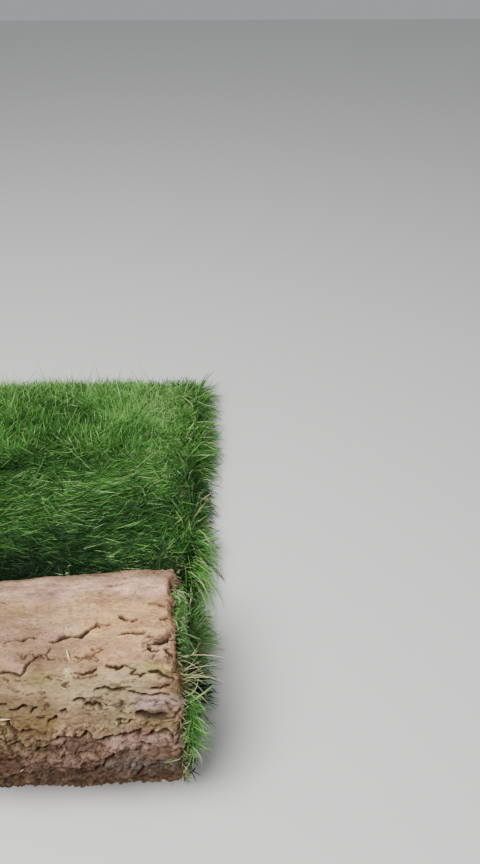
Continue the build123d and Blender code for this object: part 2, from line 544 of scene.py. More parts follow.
def soil_piece(name, along_lines, across_lines, relief):
    """One closed piece of the soil, with its relief, wound into place."""
    bm = flat_slab(along_lines, across_lines)
    mesh = bpy.data.meshes.new(name)
    bm.to_mesh(mesh)
    bm.free()
    flat = np.empty(3 * len(mesh.vertices), np.float32)
    mesh.vertices.foreach_get("co", flat)
    flat = flat.reshape(-1, 3).astype(float)
    along = np.interp(flat[:, 0], np.linspace(-1, 1, len(along_lines)), along_lines)
    across = np.interp(flat[:, 1], np.linspace(-1, 1, len(across_lines)), across_lines)
    depth = -flat[:, 2] * soil_thickness
    unfolded = box_map(mesh, along, across, depth)

    rise, crack, flake, stain = relief(along, across)
    fade = np.clip(1 - depth / soil_thickness, 0, 1)
    ragged = side_roughness * rough(along, depth * 2, 0.012, 31, 4) - side_roughness / 2
    on_side = ease(half_width - 0.012, half_width, np.abs(across))
    near_right_end = ease(half_width - right_end_reach, half_width, across)
    new_across = across + np.sign(across) * ragged * on_side
    new_across = new_across + right_end(along - flap_length) * near_right_end
    place, _ = wind(along, depth - rise * fade)
    points = settle(np.column_stack([new_across, place]), along)
    points[:, 2] = np.maximum(points[:, 2], least_height)
    # Low on the roll the soil gets darker in two steps, partly as damp soil and partly as painted shade at
    # its foot.
    level = points[:, 2] + 0.014 * rough(across, along, 0.05, 241)
    damp_and_shade = ease(damp_and_shade_from, damp_and_shade_all, level)[:, None]
    lower_damp_and_shade = ease(lower_damp_and_shade_from, lower_damp_and_shade_all, level)[:, None]
    stain = stain * (1 - lower_damp_and_shade_share * lower_damp_and_shade) * (1 + (foot_damp_and_painted_shade - 1) * damp_and_shade)
    mesh.vertices.foreach_set("co", points.astype(np.float32).ravel())
    uv = mesh.uv_layers.new(name="OFBake")
    uv.data.foreach_set("uv", unfolded.astype(np.float32).ravel())
    add_numbers(mesh, "strip_place", np.column_stack([across, along, depth]))
    # The crack numbers carry the painted shade in cracks and in the gaps between clods and crumbs.
    add_numbers(mesh, "crack", crack * fade)
    add_numbers(mesh, "flake", flake)
    add_numbers(mesh, "stain", stain)
    mesh.update()
    piece = new_piece(mesh, soil_finish)
    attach(piece, "root")
    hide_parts("soil_mat")
    print(name, len(mesh.polygons), "faces")


print("cut sides ragged by", side_roughness, "m")

# %% [markdown]
# Dry soil is never one colour. Where it has dried it is a pale pinkish brown, in patches more yellow or
# olive with dust. It is darker on its cut sides, where it is still damp. Its cracks and the gaps between
# its clods are painted nearly black as painted shade. Towards the foot of the roll it is darkest and
# reddest, partly for the damp and partly as painted shade. A shader mixes that from nodes. A few helpers
# keep the mixing short: a node with its inputs set, a ramp of colours, a mix of two, a reading of what a
# mesh carries, and noise that is stretched along the strip.


# %% Make helpers for materials
def node(tree, kind, **inputs):
    """A shader node with some of its inputs set or linked."""
    made = tree.nodes.new(kind)
    for name, value in inputs.items():
        socket = made.inputs[int(name[1:]) if name[1:].isdigit() else name.replace("_", " ")]
        if isinstance(value, bpy.types.NodeSocket):
            tree.links.new(value, socket)
        else:
            socket.default_value = value
    return made


def ramp(tree, factor, *stops):
    """A colour ramp through stops of a position and a colour."""
    made = tree.nodes.new("ShaderNodeValToRGB")
    tree.links.new(factor, made.inputs["Fac"])
    while len(made.color_ramp.elements) < len(stops):
        made.color_ramp.elements.new(0.5)
    for element, (position, colour) in zip(made.color_ramp.elements, stops):
        element.position = position
        element.color = (*colour, 1)
    return made.outputs["Color"]


def blend(tree, factor, first, second, kind="MIX"):
    """Two colours mixed by a factor."""
    made = tree.nodes.new("ShaderNodeMix")
    made.data_type = "RGBA"
    made.blend_type = kind
    for socket, value in zip((made.inputs[0], made.inputs[6], made.inputs[7]), (factor, first, second)):
        if isinstance(value, bpy.types.NodeSocket):
            tree.links.new(value, socket)
        elif isinstance(value, tuple):
            socket.default_value = (*value, 1)
        else:
            socket.default_value = value
    return made.outputs[2]


def reading(tree, name, output="Fac"):
    """What a mesh carries under a name."""
    made = tree.nodes.new("ShaderNodeAttribute")
    made.attribute_name = name
    return made.outputs[output]


def speckle(tree, place, scale, stretch=(1, 1, 1), detail=3.0, roughness=0.55):
    """Noise on the strip, stretched along it or across it."""
    spot = node(tree, "ShaderNodeMapping", Vector=place, Scale=stretch).outputs[0]
    noise = node(tree, "ShaderNodeTexNoise", Vector=spot, Scale=scale, Detail=detail, Roughness=roughness)
    return noise.outputs[0]


def between(tree, value, low, high):
    """0 where a value is at low, and 1 where it is at high."""
    made = node(tree, "ShaderNodeMapRange", Value=value)
    made.inputs["From Min"].default_value = low
    made.inputs["From Max"].default_value = high
    return made.outputs[0]


def new_finish(name):
    """An empty matt finish: its node tree and its shader."""
    finish = bpy.data.materials.new(name)
    finish.use_nodes = True
    shader = finish.node_tree.nodes["Principled BSDF"]
    shader.inputs["Roughness"].default_value = 0.95
    shader.inputs["Specular IOR Level"].default_value = 0.15
    return finish, finish.node_tree, shader


print("helpers for materials ready")

# %% [markdown]
# Each piece of soil carries its patches as a colour for every point, its stain. The shader multiplies
# what is finer onto it: streaks along the roll's axis, dark specks, pale grains, and a shade for each
# flake. Deeper below the soil face the colour darkens twice: on the damp cut, and in the thatch where the
# grass grows. In the cracks and in the gaps between clods it goes nearly black, as painted shade. The
# gloss is nil, and the grain is too fine to model, so it is bump. The patterns read the place on the strip
# that each piece carries, so they run on from piece to piece.

# %% Mix the soil's finish
soil_finish, tree, shader = new_finish("dry soil")
place = reading(tree, "strip_place", "Vector")
streaks = speckle(tree, place, 150, stretch=(0.22, 1, 1), detail=6, roughness=0.65)
specks = speckle(tree, place, 420, stretch=(0.45, 1, 1), detail=4, roughness=0.6)
grains = speckle(tree, place, 1100, detail=3, roughness=0.7)
blotches = speckle(tree, place, 55, stretch=(0.5, 1, 1), detail=5)
patterns = [
    (0.62, streaks, (0.3, (0.62, 0.56, 0.5)), (0.48, (0.98, 0.97, 0.96)), (0.7, (1.28, 1.3, 1.32))),
    (0.58, blotches, (0.34, (0.66, 0.62, 0.58)), (0.52, (1, 1, 1)), (0.7, (1.14, 1.13, 1.1))),
    (0.95, reading(tree, "flake"), (0.0, (0.6, 0.57, 0.53)), (0.5, (1, 1, 1)), (1.0, (1.3, 1.3, 1.26))),
    (0.7, specks, (0.33, (0.4, 0.35, 0.3)), (0.45, (0.98, 0.98, 0.98)), (0.68, (1.3, 1.3, 1.28))),
    (0.6, grains, (0.3, (0.6, 0.57, 0.55)), (0.5, (1, 1, 1)), (0.72, (1.4, 1.38, 1.35))),
]
depth_tints = [(0.001, 0.008, (0.55, 0.46, 0.4)), (0.015, 0.021, (0.3, 0.3, 0.24))]
# Nearly black: painted shade in cracks and gaps.
painted_crack_shade = (0.05, 0.028, 0.016)

colour = reading(tree, "stain", "Color")
for share, pattern, *stops in patterns:
    colour = blend(tree, share, colour, ramp(tree, pattern, *stops), "MULTIPLY")
below = node(tree, "ShaderNodeSeparateXYZ", Vector=place).outputs["Z"]
for low, high, tint in depth_tints:
    colour = blend(tree, between(tree, below, low, high), colour, tint, "MULTIPLY")
colour = blend(tree, reading(tree, "crack"), colour, painted_crack_shade)
tree.links.new(colour, shader.inputs["Base Color"])
fine = node(tree, "ShaderNodeBump", Height=grains, Strength=0.7, Distance=0.0012)
middle = node(tree, "ShaderNodeBump", Height=specks, Normal=fine.outputs[0], Strength=0.6, Distance=0.002)
coarse = node(tree, "ShaderNodeBump", Height=streaks, Normal=middle.outputs[0], Strength=0.7, Distance=0.004)
tree.links.new(coarse.outputs[0], shader.inputs["Normal"])
print(len(tree.nodes), "nodes")

# %% [markdown]
# The stain starts as three colours of dry soil in drifting patches. On top of those come the patches that
# the photograph shows, each listed as its middle and its half size on the strip, in millimetres, and its
# colour. A painted image would do too, but a few soft spots only need a row each.

# %% Stain the soil
seen_patches = [
    ((110, 258), (130, 34), (0.52, 0.41, 0.27)),
    ((62, 238), (50, 20), (0.42, 0.33, 0.19)),
    ((72, 258), (42, 10), (0.25, 0.18, 0.12)),
    ((63, 402), (70, 24), (0.87, 0.62, 0.52)),
    ((166, 399), (80, 18), (0.97, 0.69, 0.6)),
    ((215, 388), (34, 13), (0.94, 0.66, 0.56)),
    ((96, 385), (40, 7), (0.66, 0.47, 0.44)),
    ((247, 368), (9, 44), (0.5, 0.3, 0.24)),
    ((115, 352), (45, 16), (0.68, 0.5, 0.37)),
    ((196, 346), (56, 22), (0.74, 0.5, 0.29)),
    ((173, 309), (42, 12), (0.64, 0.42, 0.29)),
    ((86, 310), (40, 12), (0.55, 0.38, 0.28)),
    ((97, 280), (16, 7), (0.44, 0.38, 0.2)),
    ((226, 288), (12, 6), (0.5, 0.46, 0.2)),
    ((132, 287), (4, 4), (0.9, 0.75, 0.55)),
    ((175, 263), (42, 22), (0.62, 0.54, 0.38)),
    ((230, 256), (24, 8), (0.6, 0.47, 0.51)),
    # A nearly black spot on the widest crack: painted shade in its pit.
    ((224, 242), (14, 5), (0.14, 0.13, 0.08)),
    ((227, 230), (14, 6), (0.52, 0.44, 0.24)),
    ((95, 232), (30, 12), (0.38, 0.27, 0.14)),
    ((75, 214), (32, 12), (0.41, 0.33, 0.21)),
    ((145, 190), (34, 8), (0.66, 0.49, 0.42)),
    ((148, 211), (34, 8), (0.27, 0.18, 0.16)),
    ((216, 214), (34, 11), (0.78, 0.58, 0.56)),
    ((215, 178), (38, 14), (0.7, 0.7, 0.62)),
]
pink, yellow, olive = np.array([(0.6, 0.42, 0.33), (0.6, 0.42, 0.28), (0.42, 0.32, 0.2)])
stain_balance = np.array([0.84, 0.75, 0.62])
patch_strength = 0.85


def from_patch(across, up, middle, half_size):
    """How far points are from the middle of a patch: 1 at its half size, which is in millimetres."""
    return np.hypot((across * 1000 - middle[0]) / half_size[0], (up * 1000 - middle[1]) / half_size[1])


def stain_soil(across, up):
    """A colour for every point of the soil."""
    first = ease(-0.5, 0.5, rough(across, up, 0.06, 201))[:, None]
    second = ease(0.1, 0.9, rough(across, up, 0.05, 211))[:, None]
    colour = pink + (yellow - pink) * first
    colour = colour + (olive - colour) * second
    for middle, half_size, patch in seen_patches:
        away = from_patch(across, up, middle, half_size) + 0.4 * rough(across, up, 0.02, 221)
        share = patch_strength * ease(1.5, 0.6, away)[:, None]
        colour = colour + (np.array(patch) - colour) * share
    return colour * stain_balance


print(len(seen_patches), "patches from the photograph")

# %% [markdown]
# Low on the roll, at its back and close to the strip's edges the soil holds together badly, and falls into
# clods and crumbs with dark gaps. Elsewhere thin layers of it end in ledges and short fissures. Bump in
# the material could fake all this, but only real shapes have an outline and throw shadows. The cells and
# the smooth chance from above are enough to make them.


# %% Break the soil's face
def edge_round(across, radius):
    """How far a rounded edge drops below the flat."""
    into = np.clip(radius - (half_width - np.abs(across)), 0, radius)
    return radius - np.sqrt(radius**2 - into**2)


def how_crumbly(across, up):
    """How crumbly the soil is, from 0 to 1."""
    behind = ease(0.56, 0.68, up)
    low = ease(0.285, 0.2, up + 0.025 * drift(across, up, 0.05, 62)) + behind
    rim_width = 0.022 + 0.03 * ease(0.37, 0.3, up)
    to_side = np.abs(across) + 0.012 * drift(across, up, 0.02, 69)
    rim = ease(half_width - rim_width, half_width - 0.004, to_side)
    return np.clip(low + 0.8 * rim, 0, 1)


def crumble(across, up, crumbly, size, seed, heights, gap_width, open_gaps):
    """Rounded lumps where the soil is crumbly: their height, the gaps between some, two values for each."""
    values, border = cells(across, up, size, seed)
    domed, uneven, sunk = heights
    height = crumbly * (domed * np.sqrt(np.clip(border, 0, 1)) + uneven * values[:, 0] - sunk)
    gap = crumbly * ease(gap_width, 0.0, border) * ease(*open_gaps, values[:, 1])
    return height, gap, values


def thin_layers(across, up, jag_across, jag_up, crumbly):
    """Short dark fissures between thin layers of soil, and the ledges in which the layers end."""
    layered = rough(jag_across / 3.6, jag_up, 0.013, 301, 4)
    loose = drift(across / 1.5, up, 0.022, 311) + 0.9 * crumbly + 1.2 * ease(0.36, 0.3, up)
    fissure = ease(0.0, 0.4, loose - 0.85) * ease(0.1, 0.02, np.abs(layered - 0.25))
    return fissure, (0.0006 + 0.0012 * crumbly) * ease(0.15, 0.35, layered)


print("crumbly at one point", float(how_crumbly(np.array([0.24]), np.array([0.2]))[0]))

# %% [markdown]
# The relief of the outside adds all that up. Lumps of a few centimetres make the roll uneven. Cracks cut a
# few millimetres in, and the soil steps up on one side of each. Between them the face breaks into flat
# plates and flakes, longer along the roll's axis than around it. Towards the strip's edges it rounds off.


# %% Shape the outside of the roll
def outer_relief(along, across):
    """How high the soil stands, its painted shade in cracks and gaps, a shade for each flake, and its colour.
    """
    up = along - flap_length
    jag_across = across + 0.0022 * rough(across, up, 0.011, 41, 4)
    jag_up = up + 0.0026 * rough(across, up, 0.009, 51, 4)
    crack_across = across + 0.0013 * rough(across, up, 0.009, 41, 4)
    crack_up = up + 0.0015 * rough(across, up, 0.007, 51, 4)
    crack, shift = measure_cracks(crack_across, crack_up)

    crumbly = how_crumbly(across, up)
    broken = np.clip(0.35 + 0.8 * drift(across, up, 0.07, 63) + crumbly, 0.05, 1)
    plate, plate_border = cells(jag_across / 2.6, jag_up, 0.016, 64)
    plates = broken * 0.0011 * plate[:, 0] * ease(0, 0.1, plate_border)
    hairs = broken * ease(0.08, 0.0, plate_border) * ease(0.1, 0.6, plate[:, 1])
    flake, flake_border = cells(jag_across / 2.4, jag_up, 0.0075, 65)
    flakes = broken * 0.0006 * flake[:, 0] * ease(0, 0.2, flake_border)
    clods, clod_gap, clod = crumble(
        jag_across / 1.7, jag_up, crumbly, 0.0105, 66, (0.002, 0.0016, 0.001), 0.14, (-0.3, 0.5)
    )
    crumbs, crumb_gap, crumb = crumble(
        jag_across / 1.4, jag_up, crumbly, 0.0056, 67, (0.0013, 0.001, 0.0006), 0.2, (0.1, 0.6)
    )
    fissure, ledge = thin_layers(across, up, jag_across, jag_up, crumbly)

    lumps = 0.0026 * rough(across, up, 0.09, 71) + 0.0009 * rough(across, up, 0.02, 81)
    grit = (0.0004 + 0.0009 * crumbly) * rough(across, up, 0.0045, 91)
    top = ease(0.3, 0.4, up) * ease(0.6, 0.5, up)
    slope = top * (0.0015 * ease(0.17, 0.21, across) - 0.006 * ease(0.17, 0.04, across))
    rise = lumps + slope + shift + plates + flakes + clods + crumbs + ledge + grit
    rise = rise - 0.006 * crack - 0.001 * hairs - 0.0018 * clod_gap - 0.0012 * crumb_gap - 0.002 * fissure
    worn = edge_round(across, 0.008) + 0.6 * top * edge_round(across, 0.014)
    # Painted shade in cracks, hairline cracks, gaps between clods and crumbs, and fissures.
    painted_gap_shade = 1.3 * crack + 0.35 * hairs + 0.65 * clod_gap + 0.5 * crumb_gap + 0.8 * fissure
    shade = 0.5 + 0.2 * plate[:, 0] + 0.2 * flake[:, 1] + crumbly * (0.15 * clod[:, 1] - 0.35 * crumb[:, 1])
    return rise - worn - 0.002, np.clip(painted_gap_shade, 0, 1), shade, stain_soil(across, up)


outer_length = run_lengths[1] + run_lengths[2] + run_lengths[3]
across_fine = lines((-half_width, 0.0026), (0.03, 0.0012), (half_width, 0))
up_fine = lines((0.0, 0.0026), (0.14, 0.0012), (0.41, 0.002), (0.45, 0))
soil_piece("roll_front", flap_length + up_fine, across_fine, outer_relief)

across_even = lines((-half_width, 0.0025), (half_width, 0))
up_back = lines((0.45, 0.0025), (outer_length, 0))
soil_piece("roll_back", flap_length + up_back, across_even, outer_relief)

# %% [markdown]
# The inner turns and the flap hide their soil, and only their cut sides show. They get a plain relief and
# a coarse grid, which is fine at the two sides alone.


# %% Shape the inner turns and the flap
def plain_relief(along, across):
    """Soil that only its edges show: slightly uneven, with rounded corners."""
    rise = 0.0008 * rough(across, along, 0.02, 81) - edge_round(across, 0.005) - 0.001
    stain = np.array([0.42, 0.3, 0.2]) * (1 + 0.25 * drift(across * 4, along, 0.02, 401))[:, None]
    return rise, np.zeros(along.shape), np.full(along.shape, 0.5), stain


inner_half = half_width - 0.012
across_ends = lines((-half_width, 0.002), (-inner_half, 0.08), (inner_half, 0.002), (half_width, 0))
inner_lines = lines((flap_length + outer_length, 0.0025), (strip_length, 0))
soil_piece("inner_turns", inner_lines, across_ends, plain_relief)
flap_lines = lines((0.0, 0.0025), (flap_length, 0))
soil_piece("flap_soil", flap_lines, across_ends, plain_relief)

# %% [markdown]
# The grass is far too much to model blade by blade by hand. Hair would be quick to set up, but this grass
# has to lie against soil and roll, and it has to end up as a mesh. So many blades are made at once from
# arrays, with a row for each. A blade leaves its root in one direction and bends over under its own weight.

# %% Bend blades of grass
grass_chance = np.random.default_rng(21)


def unit(vectors):
    """Vectors at length one."""
    return vectors / np.maximum(np.linalg.norm(vectors, axis=-1, keepdims=True), 1e-9)


def bend_blades(roots, heading, length, droop, bands, curl, stray, pull):
    """The middle lines of blades, with a point at each end of each band. A blade bends the way it is
    pulled, which is mostly down, and the more it may stray, to one side too."""
    sway = grass_chance.normal(0, curl, (len(roots), 3))
    aside = np.array(pull) + stray * grass_chance.normal(0, 1, (len(roots), 3))
    fall = unit(aside - (aside * heading).sum(1)[:, None] * heading)
    points = [roots]
    for share in np.arange(1, bands) / bands + 0.5 / bands:
        bend = (droop * share)[:, None]
        direction = unit(np.cos(bend) * heading + np.sin(bend) * fall + share * sway)
        points.append(points[-1] + direction * (length / bands)[:, None])
    points.append(points[-1] + direction * (length / bands)[:, None])
    return np.stack(points, 1)


print("one direction of length one:", unit(np.array([[0.0, 3.0, 4.0]]))[0])

# %% [markdown]
# A bent blade is then held in its place. Blades of the flap lie on its soil and against the outside of the
# roll, and blades in the roll follow it to its tighter left end. None goes under the floor, or far past
# the measured model. A simulation would find such places too, but it takes long and is hard to repeat.

# %% Hold blades in place
roll_gap = 0.0015
lying_low, lying_high = 0.001, 0.007
floor_gap = 0.0012
side_start, side_limit = 0.3, 0.315
end_start, end_limit = 0.785, 0.803


def keep_clear(points):
    """Blades lie on the flap's soil and against the outside of the roll, not inside them."""
    centre = np.array([sag_flat / 2, roll_radius + half_pitch])
    clear = roll_radius - half_pitch + roll_gap
    away = points[..., 1:] - centre
    distance = np.linalg.norm(away, axis=-1, keepdims=True)
    behind = (away[..., :1] > -sag_flat) & (np.abs(points[..., :1]) < half_width + 0.002)
    outside = centre + away / np.maximum(distance, 1e-6) * clear
    points[..., 1:] = np.where(behind & (distance < clear), outside, points[..., 1:])
    over_soil = (np.abs(points[..., 0]) < half_width) & (points[..., 1] < soil_high[1])
    over_soil[:, 0] = False
    lying = soil_thickness + grass_chance.uniform(lying_low, lying_high, (len(points), 1))
    points[..., 2] = np.where(over_soil, np.maximum(points[..., 2], lying), points[..., 2])
    return points


def hold(values, start, limit):
    """Values past start are drawn in, and none passes the limit."""
    past = np.abs(values) - start
    return np.where(past > 0, np.sign(values) * np.minimum(start + 0.4 * past, limit), values)


def keep_in_place(points, wound):
    """Blades of the flap are kept clear of soil and roll, and blades in the roll are wound as tight."""
    if wound is None:
        points = keep_clear(points)
    else:
        points = settle(points.reshape(-1, 3), np.repeat(wound, points.shape[1])).reshape(points.shape)
    points[..., 2] = np.maximum(points[..., 2], floor_gap)
    points[..., 0] = hold(points[..., 0], side_start, side_limit)
    points[..., 1] = hold(points[..., 1], end_start, end_limit)
    return points


print("blades lie up to", lying_high, "m above the soil")

# %% [markdown]
# A blade is a narrow ribbon of a few bands that ends in a point. One blade could be copied many times, but
# then all would bend alike, so each has its own points. Each one also has a tone, from dark green through
# yellow green to straw, and its UV map holds nothing but the tone and the height along the blade, so one
# small colour chart is enough for the whole lawn.

# %% Make blades of grass
taper = np.array([0.75, 1.0, 0.9, 0.7, 0.45])
twist = 0.35
chart_rim = 0.02


def ribbon_mesh(name, points, bands):
    """A mesh of ribbons, and for each corner of its faces the number of the point on its blade."""
    count, per_blade = len(points), 2 * bands + 1
    quads = [(2 * k, 2 * k + 1, 2 * k + 3, 2 * k + 2) for k in range(bands - 1)]
    corners = [corner for quad in quads for corner in quad] + [2 * bands - 2, 2 * bands - 1, 2 * bands]
    loops = (np.arange(count)[:, None] * per_blade + np.array(corners)).ravel()
    sizes = np.tile([4] * (bands - 1) + [3], count)
    mesh = bpy.data.meshes.new(name)
    mesh.vertices.add(count * per_blade)
    mesh.vertices.foreach_set("co", points.astype(np.float32).ravel())
    mesh.loops.add(len(loops))
    mesh.loops.foreach_set("vertex_index", loops.astype(np.int32))
    mesh.polygons.add(len(sizes))
    mesh.polygons.foreach_set("loop_start", np.concatenate([[0], np.cumsum(sizes)[:-1]]).astype(np.int32))
    mesh.update(calc_edges=True)
    return mesh, corners


def blades(
    name, roots, heading, length, width, droop, tone,
    bands=3, wound=None, curl=0.16, lowest=0.0, stray=0.0, pull=(0, 0, -1),
):
    """Many blades as one mesh. The chart is read from lowest up, so a lowest near 1 leaves out the root's
    painted shade. Wound is how far along the strip each blade grows, for those in the roll."""
    spine = bend_blades(roots, heading, length, droop, bands, curl, stray, pull)
    spine = keep_in_place(spine, wound)
    side = unit(np.cross(heading, (0, 0, -1.0)) + grass_chance.normal(0, twist, (len(roots), 3)))
    out = side[:, None] * (width[:, None] * taper[:bands] / 2)[..., None]
    pairs = np.stack([spine[:, :-1] - out, spine[:, :-1] + out], 2).reshape(len(roots), -1, 3)
    mesh, corners = ribbon_mesh(name, np.concatenate([pairs, spine[:, -1:]], 1), bands)
    heights = lowest + (1 - lowest) * np.repeat(np.arange(bands + 1) / bands, 2)[: 2 * bands + 1]
    chart = np.stack(np.broadcast_arrays(tone[:, None], heights[corners][None]), -1)
    uv = mesh.uv_layers.new(name="OFBake")
    uv.data.foreach_set("uv", (chart_rim + (1 - 2 * chart_rim) * chart).astype(np.float32).ravel())
    piece = new_piece(mesh, grass_finish)
    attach(piece, "root")
    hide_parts("grass")
    print(name, len(roots), "blades,", len(roots) * (2 * bands - 1), "triangles")


print("ribbons of up to", len(taper), "bands")

# %% [markdown]
# The grass's finish is that chart. One ramp goes from the darkest green to straw, a second one darkens
# the blade towards its root as painted shade between the blades and lightens it towards its tip, and the
# two are multiplied. Blades shine a little, more green than white.

# %% Mix the grass's finish
grass_finish, tree, shader = new_finish("grass blade")
chart = node(tree, "ShaderNodeUVMap")
chart.uv_map = "OFBake"
axes = node(tree, "ShaderNodeSeparateXYZ", Vector=chart.outputs[0])
tones = [
    (0.0, (0.003, 0.013, 0.004)),
    (0.3, (0.024, 0.07, 0.019)),
    (0.6, (0.073, 0.23, 0.037)),
    (0.77, (0.18, 0.48, 0.075)),
    (0.83, (0.32, 0.5, 0.24)),
    (0.88, (0.44, 0.6, 0.24)),
    (0.94, (0.5, 0.44, 0.25)),
    (1.0, (0.62, 0.48, 0.3)),
]
# Painted shade between the blades: darkest at the root, lighter towards the tip.
heights = [
    (0.0, (0.12, 0.11, 0.08)),
    (0.35, (0.46, 0.46, 0.44)),
    (0.7, (1, 1, 1)),
    (1.0, (1.35, 1.35, 1.3)),
]
living = ramp(tree, axes.outputs["X"], *tones)
painted_root_shade = ramp(tree, axes.outputs["Y"], *heights)
tree.links.new(blend(tree, 1.0, living, painted_root_shade, "MULTIPLY"), shader.inputs["Base Color"])
shader.inputs["Roughness"].default_value = 0.45
shader.inputs["Specular IOR Level"].default_value = 0.22
shader.inputs["Specular Tint"].default_value = (0.75, 0.95, 0.6, 1)
print(len(tree.nodes), "nodes")

# %% [markdown]
# On the flap the blades stand in tufts. Near the roll they were pressed flat and combed sideways when the
# strip was wound up, and they are long and tangled. There their tone is darker, and about a third of them
# much darker, as painted shade between the blades. Close behind the roll they are crushed, and darker
# still as a painted shadow of the roll. Towards the right edge they are ragged. Towards the open end they
# stand up again, and the light on their tips makes them yellow green. The lighter and darker places that
# the photograph shows are listed as their middle and half size, in millimetres across and behind the roll,
# and how much they change the tone. The darkest two, in the crevice and the hole behind the roll, are
# painted shadow.

# %% Map the flap
seen_tones_and_shadows = [
    ((150, 695), (100, 80), 0.25),
    ((-60, 640), (120, 60), -0.09),
    ((100, 470), (55, 40), 0.16),
    ((205, 520), (35, 60), 0.04),
    ((-88, 490), (45, 22), -0.2),
    ((20, 420), (70, 40), 0.07),
    ((125, 370), (75, 24), -0.14),
    ((200, 350), (40, 30), 0.05),
    # Painted shadow in the crevice close behind the roll.
    ((0, 228), (150, 30), -0.28),
    ((-20, 300), (140, 40), -0.06),
    # Painted shadow in the hole behind the roll's right end.
    ((243, 228), (38, 38), -0.7),
]
nearly_bare = -0.4


def shade(x, y):
    """How much lighter or darker the grass is in the listed patches. The darkest two are painted shadow."""
    change = np.zeros(len(x))
    for middle, half_size, amount in seen_tones_and_shadows:
        change += amount * ease(1.4, 0.6, from_patch(x, y, middle, half_size) + 0.3 * rough(x, y, 0.04, 12))
    return change


def state_of_flap(x, y):
    """How ragged, how combed, and how crushed and darkened as painted shadow the grass is, each from 0 to 1.
    """
    ragged = ease(0.12, 0.21, x + 0.04 * drift(x, y, 0.06, 8))
    combed = ease(0.58, 0.46, y + 0.07 * drift(x, y, 0.1, 5)) * (1 - 0.75 * ragged)
    crushed_and_shadowed = ease(0.34, 0.24, y + 0.09 * ease(0.02, 0.2, x) + 0.03 * drift(x, y, 0.05, 10))
    return ragged, combed, crushed_and_shadowed


def gaps_in_flap(x, y):
    """The share of blades that is missing: there are holes between the tufts, and places nearly bare."""
    holes = ease(0.1, 0.7, drift(x, y, 0.03, 11) + 0.4 * drift(x, y, 0.012, 12))
    return np.maximum(0.75 * holes * ease(0.16, 0.3, y), 0.85 * (shade(x, y) < nearly_bare))


print(len(seen_tones_and_shadows), "light and dark places from the photograph")

# %% [markdown]
# Now the flap's blades can grow. Combed ones turn sideways, longer and leaning far over, and the others
# point any way from their tuft. A few get a lighter tone as painted glints, a few pale ones among the
# combed grass are painted glints too, and a few are dry. The flap is made as three pieces, because one
# alone would be too heavy.


# %% Grow the grass on the flap
def on_soil(x, y):
    """Roots on the flap's soil."""
    return np.column_stack([x, y, np.full(len(x), soil_thickness)])


def retone(chance, tone, chosen, low, high):
    """The chosen blades get a tone between two others."""
    return np.where(chosen, chance.uniform(low, high, len(tone)), tone)


def flap_grass(name, count, seed, low, high):
    """Blades on the flap between two distances behind the roll."""
    chance = np.random.default_rng(seed)
    x = chance.uniform(-half_width, half_width, count)
    y = chance.uniform(low, high, count)
    grown = chance.random(count) > gaps_in_flap(x, y)
    x, y = x[grown], y[grown]
    count = len(x)
    ragged, combed, crushed_and_shadowed = state_of_flap(x, y)
    tuft, _ = cells(x, y, 0.014, 6)

    flat_turn = -6 + 40 * rough(x, y, 0.05, 7, 2) + 30 * tuft[:, 0] + chance.normal(0, 15, count)
    free_turn = 88 + 60 * rough(x, y, 0.04, 7, 2) + 80 * tuft[:, 0]
    free_turn = free_turn + chance.normal(0, 32, count) * (1 + ragged)
    turn = np.where(chance.random(count) < combed, flat_turn, free_turn)
    turn = np.radians(turn + 180 * (chance.random(count) < 0.2 + 0.25 * combed))
    lean = 38 + 26 * combed + 8 * crushed_and_shadowed + (20 - 9 * combed) * tuft[:, 1]
    lean = np.radians(lean + chance.normal(0, 12, count))
    heading = np.column_stack([np.sin(lean) * np.cos(turn), np.sin(lean) * np.sin(turn), np.cos(lean)])
    heading[:, 0] += 0.5 * np.sign(x) * ease(0.205, half_width, np.abs(x))

    length = chance.uniform(0.024, 0.046, count) * (1 + 0.5 * combed) * (1 + 0.35 * tuft[:, 1])
    length = length * (1 - 0.4 * crushed_and_shadowed) * (1 - 0.25 * ragged)
    width = chance.uniform(0.0007, 0.0015, count)
    droop = chance.uniform(0.2, 1.3, count) * (1 - 0.5 * crushed_and_shadowed) + 0.4 * combed * (1 - crushed_and_shadowed)
    droop = droop + ragged * chance.uniform(0, 1.4, count)

    bright = 0.54 + 0.08 * ease(0.5, 0.68, y) + 0.12 * drift(x, y, 0.06, 9) + 0.15 * tuft[:, 0]
    # Painted shade: darker where combed, some combed blades much darker, darkest close behind the roll as
    # painted shadow.
    bright = bright + shade(x, y) - 0.16 * combed - 0.46 * crushed_and_shadowed * (0.5 + 0.5 * ease(0.18, 0.24, y))
    bright = bright - 0.26 * combed * (chance.random(count) < 0.35)
    tone = np.clip(bright + chance.normal(0, 1, count) * (0.12 + 0.05 * combed), 0, 0.8)
    light = chance.random(count)
    # Painted glints: a few blades are lighter, and so are a few pale ones among the combed grass.
    tone = np.where(light < 0.12 - 0.08 * crushed_and_shadowed, np.clip(tone + 0.32, 0, 0.87), tone)
    tone = retone(chance, tone, (light > 0.97) & (chance.random(count) < combed) & (x > 0.03), 0.8, 0.85)
    tone = retone(chance, tone, light > 0.998 - 0.03 * ragged, 0.88, 1.0)
    curl = 0.42 - 0.24 * combed[:, None]
    blades(name, on_soil(x, y), unit(heading), length, width, droop, tone, curl=curl)


flap_grass("flap_grass_near", 38000, 101, 0.03, 0.3)
flap_grass("flap_grass_middle", 38000, 105, 0.3, 0.53)
flap_grass("flap_grass_far", 38500, 102, 0.53, soil_high[1])

